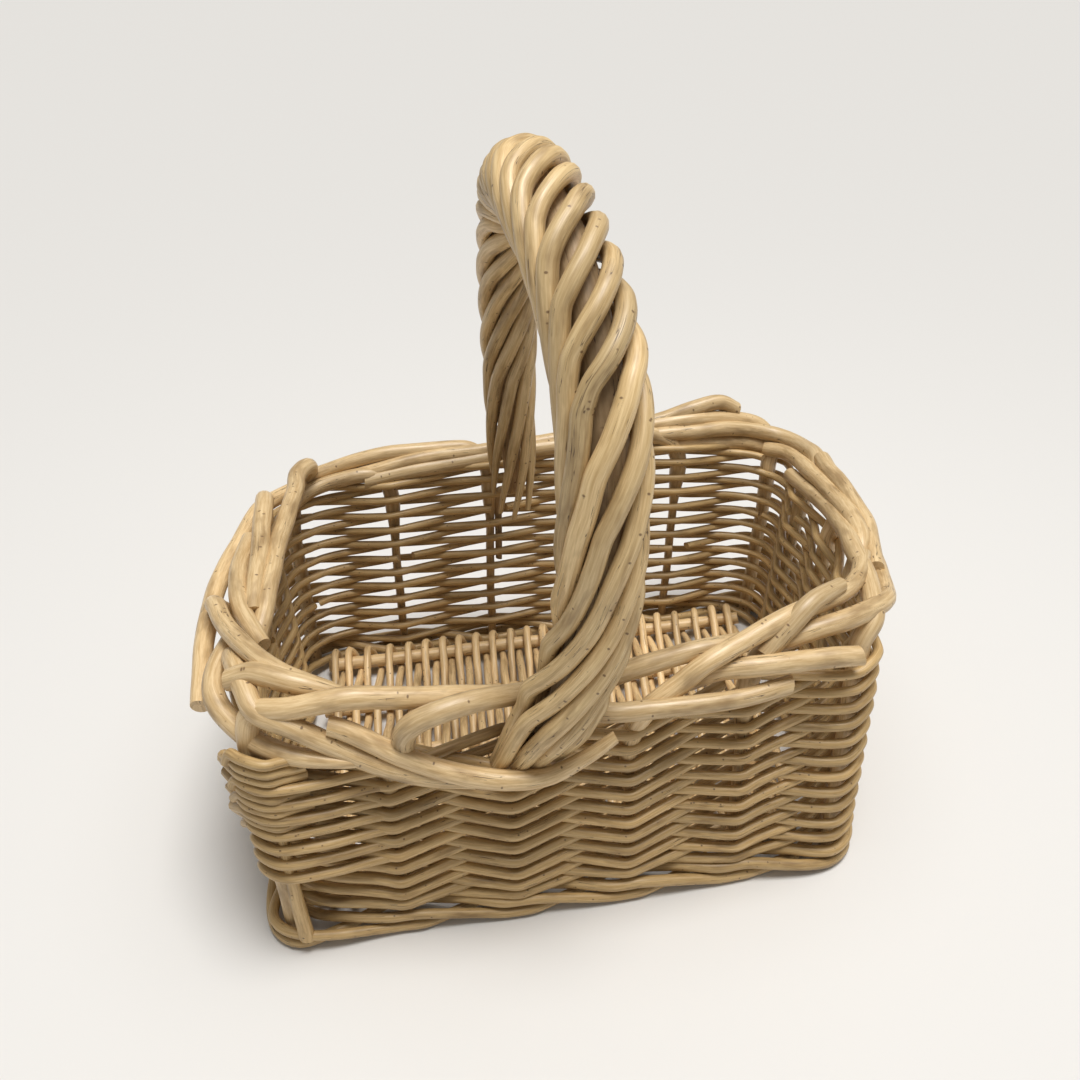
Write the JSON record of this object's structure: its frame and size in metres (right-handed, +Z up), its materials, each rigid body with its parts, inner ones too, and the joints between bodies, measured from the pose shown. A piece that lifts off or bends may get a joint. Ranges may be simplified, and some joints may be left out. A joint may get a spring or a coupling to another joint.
{
  "type": "willow handled basket",
  "caption": "Small oblong woven willow basket with a loose rod border and a fixed roped handle arching over its middle.",
  "frame": {"origin": "on the floor, under the middle of the basket's bounding box", "axes": "+X along the basket's length, to the right seen from the handle's outer foot; +Y from the front, where that foot stands outside the wall, to the back; +Z up"},
  "size_m": [0.2942, 0.2104, 0.2805],
  "materials": {
    "willow_base": "satin",
    "willow_stake": "satin",
    "willow_weaver": "satin",
    "willow_handle": "satin"
  },
  "bodies": {
    "root": {"base_stick_1": "willow_base", "base_stick_2": "willow_base", "base_stick_3": "willow_base", "base_stick_4": "willow_base", "base_stick_5": "willow_base", "base_weaver": "willow_base", "wale_rod_1": "willow_weaver", "wale_rod_2": "willow_weaver", "wale_rod_3": "willow_weaver", "side_weaver_1": "willow_weaver", "side_weaver_2": "willow_weaver", "side_weaver_3": "willow_weaver", "side_weaver_4": "willow_weaver", "side_weaver_5": "willow_weaver", "side_weaver_6": "willow_weaver", "side_weaver_7": "willow_weaver", "side_weaver_8": "willow_weaver", "side_weaver_9": "willow_weaver", "side_weaver_10": "willow_weaver", "side_weaver_11": "willow_weaver", "side_weaver_12": "willow_weaver", "side_weaver_13": "willow_weaver", "side_weaver_14": "willow_weaver", "side_weaver_15": "willow_weaver", "side_weaver_16": "willow_weaver", "side_weaver_17": "willow_weaver", "side_weaver_18": "willow_weaver", "side_weaver_19": "willow_weaver", "side_weaver_20": "willow_weaver", "side_weaver_21": "willow_weaver", "side_weaver_22": "willow_weaver", "corner_post_front_left": "willow_stake", "front_stake_1": "willow_stake", "front_stake_2": "willow_stake", "front_stake_3": "willow_stake", "front_stake_4": "willow_stake", "corner_post_front_right": "willow_stake", "right_stake_1": "willow_stake", "right_stake_2": "willow_stake", "right_stake_3": "willow_stake", "corner_post_back_right": "willow_stake", "back_stake_1": "willow_stake", "back_stake_2": "willow_stake", "back_stake_3": "willow_stake", "back_stake_4": "willow_stake", "corner_post_back_left": "willow_stake", "left_stake_1": "willow_stake", "left_stake_2": "willow_stake", "left_stake_3": "willow_stake", "handle_bow": "willow_handle", "handle_wrap_1": "willow_handle", "handle_wrap_2": "willow_handle", "handle_wrap_3": "willow_handle", "handle_wrap_4": "willow_handle", "handle_wrap_5": "willow_handle", "handle_wrap_6": "willow_handle", "handle_wrap_7": "willow_handle", "handle_wrap_8": "willow_handle"}
  },
  "joints": []
}
